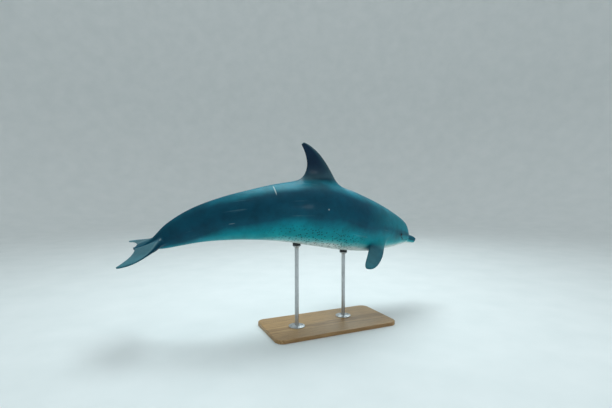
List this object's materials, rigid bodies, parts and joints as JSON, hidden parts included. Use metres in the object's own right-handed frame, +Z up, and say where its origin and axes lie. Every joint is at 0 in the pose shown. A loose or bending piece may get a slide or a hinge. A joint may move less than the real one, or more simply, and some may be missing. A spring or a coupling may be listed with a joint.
{
  "type": "bottlenose dolphin",
  "caption": "Life-size still bottlenose dolphin, arched and turning left as it swims, held by rods on a flat display stand.",
  "frame": {"origin": "centre of the underside of the stand's base, on the floor", "axes": "+X along the stand towards the dolphin's beak, +Y to the dolphin's left, +Z up"},
  "size_m": [2.378, 0.6994, 1.3139],
  "materials": {
    "body_skin": "smooth wet skin, slate blue above, teal on the flank and pale below",
    "fin_skin": "smooth wet skin, dark slate blue",
    "eye": "polished dark brown to black",
    "stand_wood": "satin varnished oak",
    "stand_steel": "brushed stainless"
  },
  "bodies": {
    "root": {"head": "body_skin", "jaw_lower": "body_skin", "beak_upper": "body_skin", "chest": "body_skin", "belly": "body_skin", "tail_stock_front": "body_skin", "tail_stock_rear": "body_skin", "tail_root": "body_skin", "dorsal_fin": "fin_skin", "fluke_left": "fin_skin", "fluke_right": "fin_skin", "flipper_left": "fin_skin", "flipper_right": "fin_skin", "eye_left": "eye", "eye_right": "eye", "stand_base": "stand_wood", "stand_flange_front": "stand_steel", "stand_flange_rear": "stand_steel", "stand_rod_front": "stand_steel", "stand_rod_rear": "stand_steel", "stand_saddle_front": "stand_steel", "stand_saddle_rear": "stand_steel"}
  },
  "joints": []
}
